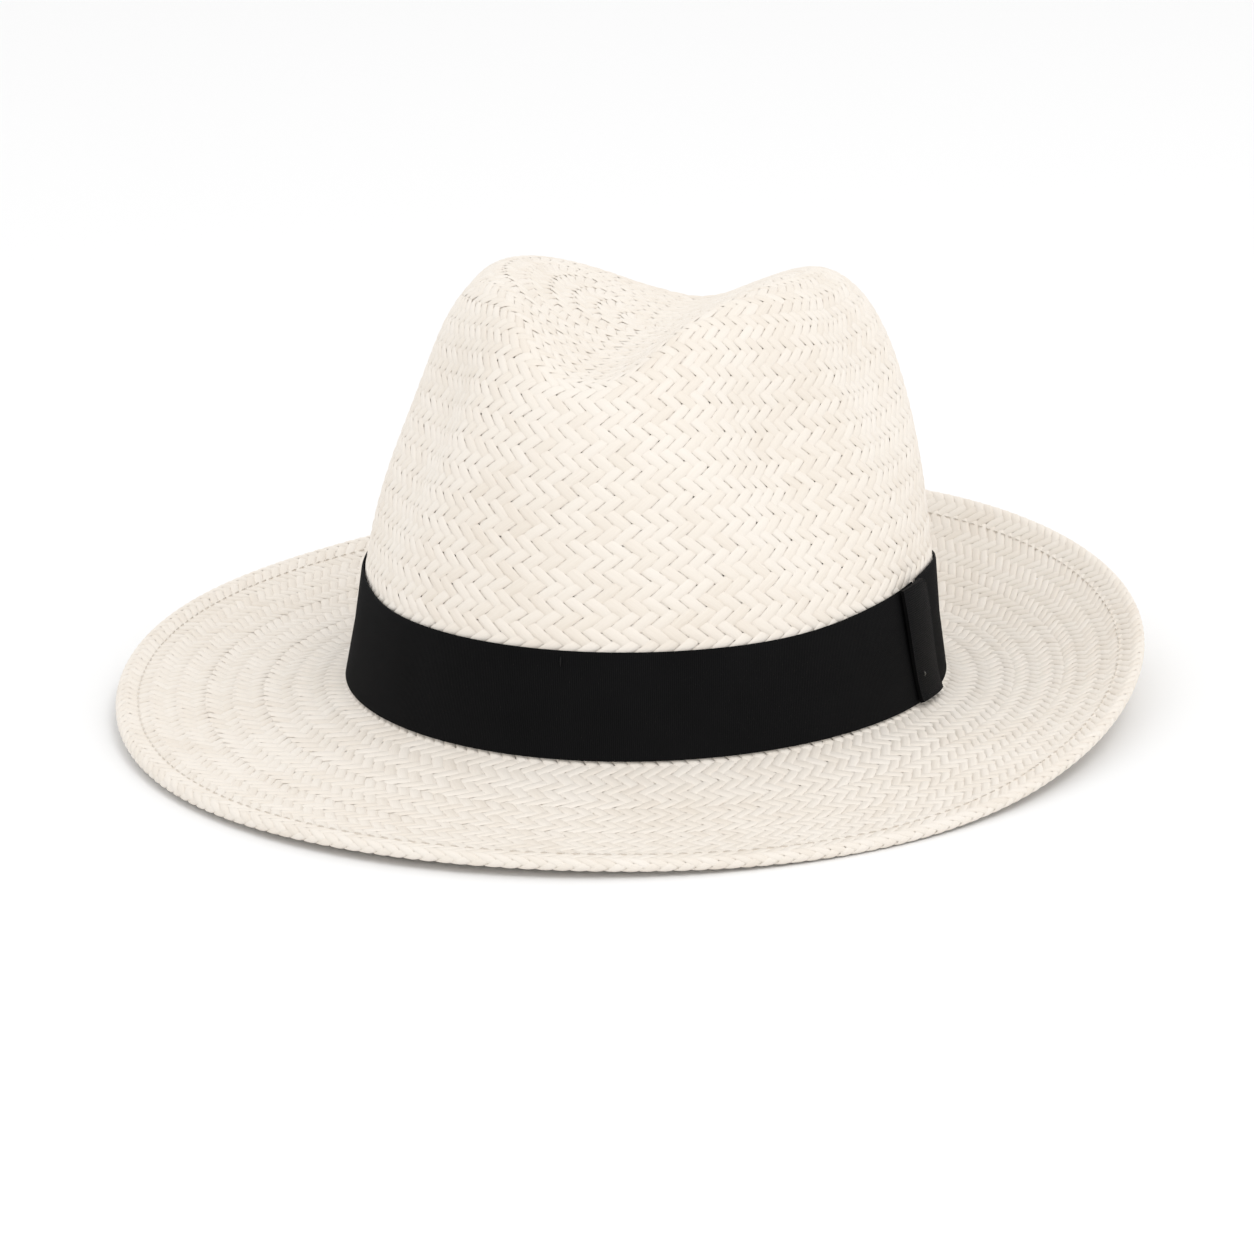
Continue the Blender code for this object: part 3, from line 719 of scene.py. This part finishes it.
across = np.linspace(0.0, 1.0, POINTS_ACROSS)
across = np.concatenate([across, across[::-1]])
outer = np.repeat([1.0, 0.0], POINTS_ACROSS)
up = np.linspace(0.0, 1.0, KEEPER_RIBS * SAMPLES_IN_RIB + 1)
grid_up, grid_across = np.meshgrid(up, across, indexing="ij")
grid_outer = np.broadcast_to(outer, grid_up.shape)
angle = KEEPER_FRONT + KEEPER_SLANT * (1.0 - grid_up) + (KEEPER_BACK - KEEPER_FRONT) * grid_across
corner = smooth_step((grid_across - 0.72) / 0.28) * smooth_step((grid_up - 0.8) / 0.2)
height = BAND_FOOT + (band_top(angle) + KEEPER_PROUD_TOP - BAND_FOOT) * grid_up
height = height - KEEPER_CORNER * corner
puff = KEEPER_PUFF * np.sin(math.pi * np.clip(grid_across, 0.05, 0.95)) ** 0.5
ribs = RIB_HEIGHT * (np.abs(np.cos(math.pi * KEEPER_RIBS * grid_up)) - 1.0) * grid_outer
base = CLEARANCE + BAND_THICKNESS + KEEPER_STANDOFF
proud = base + np.where(grid_outer > 0.5, KEEPER_THICKNESS + puff, 0.5 * puff) + ribs
keeper_points = stand(wall_place(angle, height, proud))
lay = np.stack([grid_up * KEEPER_RIBS, grid_across * 70.0], axis=-1)
keeper = fill_mesh("ribbon_keeper", keeper_points, strip_faces(len(across), len(up)), lay)
place_piece(keeper, ["hatband_keeper"], ribbon_finish)


# ---- the tacks -------------------------------------------------------------------------------
# Short upright stitches of black thread fix the hatband to the crown at front, right and back,
# and one more fixes the keeper's front edge.

TACK_LENGTH = 0.0030
TACK_BELOW_TOP = 0.0045
KEEPER_TACK_HEIGHT = 0.0080
KEEPER_TACK_LENGTH = 0.0015


def make_tack(name, angle, low, length, proud):
    """One upright stitch over the ribbon, of the same form as the hem's."""
    t = np.linspace(0.0, 1.0, 13)
    turn = np.linspace(0.0, 2.0 * math.pi, 9)[:-1]
    along, round_it = np.meshgrid(t, turn, indexing="ij")
    radius, lift = thread_form(along, round_it)
    beside = radius * np.cos(round_it) / OPENING_HALF_LENGTH
    points = wall_place(angle + beside, low + along * length,
                        proud + lift + radius * np.sin(round_it))
    lay = np.stack([along * 6.0, round_it], axis=-1)
    return fill_mesh(name, stand(points), tube_faces(1, len(t), len(turn)), lay)


black_thread = make_thread_finish("black_cotton_thread",
                                  (0.002, 0.002, 0.002), (0.008, 0.008, 0.008))
on_band = CLEARANCE + BAND_THICKNESS + 0.5 * CLEARANCE
for side, place in (("front", 0.0), ("right", 1.5 * math.pi), ("back", math.pi)):
    low = float(band_top(np.array(place))) - TACK_BELOW_TOP
    tack = make_tack(f"band_tack_{side}", place, low, TACK_LENGTH, on_band)
    place_piece(tack, [f"hatband_tack_{side}"], black_thread)
on_keeper = base + KEEPER_THICKNESS + KEEPER_PUFF + 0.5 * CLEARANCE
tack = make_tack("keeper_front_tack", KEEPER_FRONT + 1.3 * KEEPER_SLANT, KEEPER_TACK_HEIGHT,
                 KEEPER_TACK_LENGTH, on_keeper)
# painted glint: the keeper's tack is black thread whose light ply bands are lightened to grey
glint_grey_thread = make_thread_finish("black_thread_painted_glint", (0.02, 0.02, 0.02), (0.22, 0.21, 0.19))
place_piece(tack, ["keeper_tack"], glint_grey_thread)


# ---- the sweatband ---------------------------------------------------------------------------
# A band of cream twill against the forehead, turned round a plastic reed at its foot and sewn
# into the opening just over the reed. Its ends meet at the back.

STRAW_WALL = 0.0014             # the crown's wall, with both layers of straw
SWEATBAND_STANDOFF = 0.0011
SWEATBAND_THICKNESS = 0.0009
SWEATBAND_TOP = 0.0330
SWEATBAND_HALF_SEAM = 0.0171
REED_RADIUS = 0.0006
REED_HEIGHT = 0.0022


def make_cloth_finish(name, dark, light, scale):
    """Woven cloth: fine slanting twill lines, and a soft mottle."""
    finish = Finish(name, Specular_IOR_Level=0.2, Sheen_Weight=0.1)
    lay = finish.add("ShaderNodeUVMap", {"uv_map": "lay"}, {}).node.outputs[0]
    twill = finish.add("ShaderNodeTexWave", {"bands_direction": "DIAGONAL"},
                       {"Vector": lay, "Scale": scale, "Distortion": 0.8}).amount("Fac")
    body = finish.add("ShaderNodeTexCoord", {}, {}).node.outputs["Object"]
    mottle = finish.add("ShaderNodeTexNoise", {}, {"Vector": body, "Scale": 120.0,
                                                   "Detail": 5.0}).amount("Fac")
    colour = finish.add("ShaderNodeValToRGB", {"stops": ((0.2, dark), (0.8, light))},
                        {0: twill * 0.45 + mottle * 0.55})
    bump = finish.add("ShaderNodeBump", {}, {"Height": twill, "Strength": 0.5, "Distance": 0.0001})
    finish.feed(Base_Color=colour.node.outputs[0], Roughness=mottle * 0.2 + 0.7,
                Normal=bump.node.outputs[0])
    return finish.material


def section_strip(name, section, first, last, columns):
    """A closed strip whose section, a loop of (proud, height), runs round the crown's inside."""
    angle = np.linspace(first, last, columns)
    proud, height = np.array(section).T
    grid_angle, grid_height = np.meshgrid(angle, height, indexing="ij")
    grid_proud = np.broadcast_to(proud, grid_angle.shape)
    points = stand(wall_place(grid_angle, grid_height, grid_proud))
    run = np.concatenate([[0.0], np.cumsum(np.hypot(np.diff(proud), np.diff(height)))])
    lay = np.stack([grid_angle * 0.095 * 1000.0,
                    np.broadcast_to(run * 1000.0, grid_angle.shape)], axis=-1)
    return fill_mesh(name, points, tube_faces(1, columns, len(section)), lay)


back_face = -(STRAW_WALL + SWEATBAND_STANDOFF)
front_face = back_face - SWEATBAND_THICKNESS
channel = REED_RADIUS + CLEARANCE
fold = channel + SWEATBAND_THICKNESS
middle = front_face - channel
heights = np.linspace(REED_HEIGHT + fold, SWEATBAND_TOP, 12)
turns = np.radians(np.linspace(20.0, -205.0, 14))
section = [(front_face, height) for height in heights]
section += [(back_face, height) for height in heights[::-1]]
section += [(middle + fold * math.cos(turn), REED_HEIGHT + fold * math.sin(turn))
            for turn in turns]
section += [(middle + channel * math.cos(turn), REED_HEIGHT + channel * math.sin(turn))
            for turn in turns[::-1]]
cream_twill = make_cloth_finish("cream_twill", (0.62, 0.55, 0.45), (0.80, 0.74, 0.64), 1.1)
sweatband = section_strip("twill_sweatband", section, math.pi + SWEATBAND_HALF_SEAM,
                          3.0 * math.pi - SWEATBAND_HALF_SEAM, 481)
place_piece(sweatband, ["sweatband"], cream_twill)


# ---- the reed --------------------------------------------------------------------------------
# A clear plastic rod, 1.2 mm thick, in the sweatband's fold; its ends stop short at the back.

reed_section = [(middle + REED_RADIUS * math.cos(turn), REED_HEIGHT + REED_RADIUS * math.sin(turn))
                for turn in np.linspace(0.0, 2.0 * math.pi, 13)[:-1]]
reed = section_strip("sweatband_reed_rod", reed_section, math.pi + 2.0 * SWEATBAND_HALF_SEAM,
                     3.0 * math.pi - 2.0 * SWEATBAND_HALF_SEAM, 361)
reed_finish = Finish("clear_plastic", Base_Color=(0.80, 0.80, 0.78, 1.0), IOR=1.46)
body = reed_finish.add("ShaderNodeTexCoord", {}, {}).node.outputs["Object"]
streak = reed_finish.add("ShaderNodeTexNoise", {}, {"Vector": body, "Scale": 200.0}).amount("Fac")
reed_finish.feed(Roughness=streak * 0.2 + 0.2)
place_piece(reed, ["sweatband_reed"], reed_finish.material)


# ---- the sweatband's stitching ---------------------------------------------------------------
# A row of cream stitches just over the reed, sewn through the twill into the straw.

STITCH_OVER_REED = 0.0035
SWEATBAND_STITCHES = 190

sweat_thread = stitch_row(SWEATBAND_STITCHES, math.pi + 2.0 * SWEATBAND_HALF_SEAM,
                          2.0 * math.pi - 4.0 * SWEATBAND_HALF_SEAM,
                          lambda angle, beside, up: wall_place(
                              angle, REED_HEIGHT + STITCH_OVER_REED + beside,
                              front_face - THREAD_RADIUS - up),
                          "sweatband_stitches")
place_piece(sweat_thread, ["sweatband_stitching"], cream_thread)


# ---- the tape and the label ------------------------------------------------------------------
# A strip of cream tape covers the sweatband's seam at the back, and a plain pale woven label is
# sewn on beside it. Both are thin and carry no marks.

TAPE_HALF_ANGLE = math.radians(5.0)
TAPE_FOOT = 0.0075
TAPE_THICKNESS = 0.0006
LABEL_ANGLE = math.radians(205.0)
LABEL_HALF_ANGLE = math.radians(8.0)
LABEL_LOW, LABEL_HIGH = 0.0090, 0.0240
LABEL_THICKNESS = 0.0004


def patch_section(low, high, thickness):
    """The loop of a thin upright strip just inside the sweatband, its edges rounded."""
    outer = front_face - CLEARANCE
    heights = np.linspace(low, high, 9)
    edge = 0.15 * thickness
    loop = [(outer - edge * (index in (0, 8)), height) for index, height in enumerate(heights)]
    loop += [(outer - thickness + edge * (index in (0, 8)), height)
             for index, height in enumerate(heights[::-1])]
    return loop


tape = section_strip("seam_tape", patch_section(TAPE_FOOT, SWEATBAND_TOP - 0.001, TAPE_THICKNESS),
                     math.pi - TAPE_HALF_ANGLE, math.pi + TAPE_HALF_ANGLE, 25)
place_piece(tape, ["sweatband_back_tape"], cream_twill)
label = section_strip("plain_label", patch_section(LABEL_LOW, LABEL_HIGH, LABEL_THICKNESS),
                      LABEL_ANGLE - LABEL_HALF_ANGLE, LABEL_ANGLE + LABEL_HALF_ANGLE, 25)
label_finish = make_cloth_finish("pale_label_satin", (0.74, 0.72, 0.68), (0.86, 0.85, 0.81), 2.4)
place_piece(label, ["size_label"], label_finish)


# ---- the studio and the camera ---------------------------------------------------------------
# A plain pale floor in a white room, one large soft lamp above the front right, and the camera
# a little above the hat.

CAMERA_ROUND = math.radians(14.0)
CAMERA_UP = math.radians(14.04)
CAMERA_AWAY = 1.200
CAMERA_ASIDE = -0.0056
CAMERA_RAISED = 0.0129
FOCAL_LENGTHS_WIDE = 3.286 * 1.2 / 1.254
SENSOR = 36.0

right = np.array([math.cos(CAMERA_ROUND), math.sin(CAMERA_ROUND), 0.0])
ahead = np.array([-math.sin(CAMERA_ROUND) * math.cos(CAMERA_UP),
                  math.cos(CAMERA_ROUND) * math.cos(CAMERA_UP), -math.sin(CAMERA_UP)])
above = np.cross(right, ahead)
eye = -ahead * CAMERA_AWAY + right * CAMERA_ASIDE + above * CAMERA_RAISED
axes = np.stack([right, above, -ahead])
turned = (stand(axes) - OPENING_PLACE).T
camera_data = bpy.data.cameras.new("camera")
camera_data.sensor_width = SENSOR
camera_data.lens = SENSOR * FOCAL_LENGTHS_WIDE
camera_data.clip_end = 50.0
camera = bpy.data.objects.new("camera", camera_data)
camera.matrix_world = Matrix.Translation(Vector(stand(eye))) @ Matrix(turned.tolist()).to_4x4()
bpy.context.scene.collection.objects.link(camera)
bpy.context.scene.camera = camera
bpy.context.scene.view_settings.view_transform = "Standard"

FLOOR_HALF = 12.0
floor_mesh = bpy.data.meshes.new("studio_floor")
floor_mesh.from_pydata([(-FLOOR_HALF, -FLOOR_HALF, 0.0), (FLOOR_HALF, -FLOOR_HALF, 0.0),
                        (FLOOR_HALF, FLOOR_HALF, 0.0), (-FLOOR_HALF, FLOOR_HALF, 0.0)],
                       [], [(0, 1, 2, 3)])
floor = bpy.data.objects.new("studio_floor", floor_mesh)
floor_finish = Finish("pale_floor", Base_Color=(0.93, 0.93, 0.93, 1.0), Roughness=0.9,
                      Specular_IOR_Level=0.1)
floor_mesh.materials.append(floor_finish.material)
bpy.context.scene.collection.objects.link(floor)

world = bpy.data.worlds.new("white_room")
world.use_nodes = True
world.node_tree.nodes["Background"].inputs["Color"].default_value = (1.0, 1.0, 1.0, 1.0)
world.node_tree.nodes["Background"].inputs["Strength"].default_value = 1.0
bpy.context.scene.world = world


def add_lamp(name, place, size, power):
    """A square soft lamp that faces the middle of the hat."""
    lamp = bpy.data.lights.new(name, "AREA")
    lamp.size = size
    lamp.energy = power
    item = bpy.data.objects.new(name, lamp)
    item.location = place
    towards_hat = Vector((0.0, 0.0, 0.06)) - Vector(place)
    item.rotation_euler = towards_hat.to_track_quat("-Z", "Y").to_euler()
    bpy.context.scene.collection.objects.link(item)


add_lamp("soft_lamp_right", (1.0, -1.1, 2.2), 1.0, 12.0)
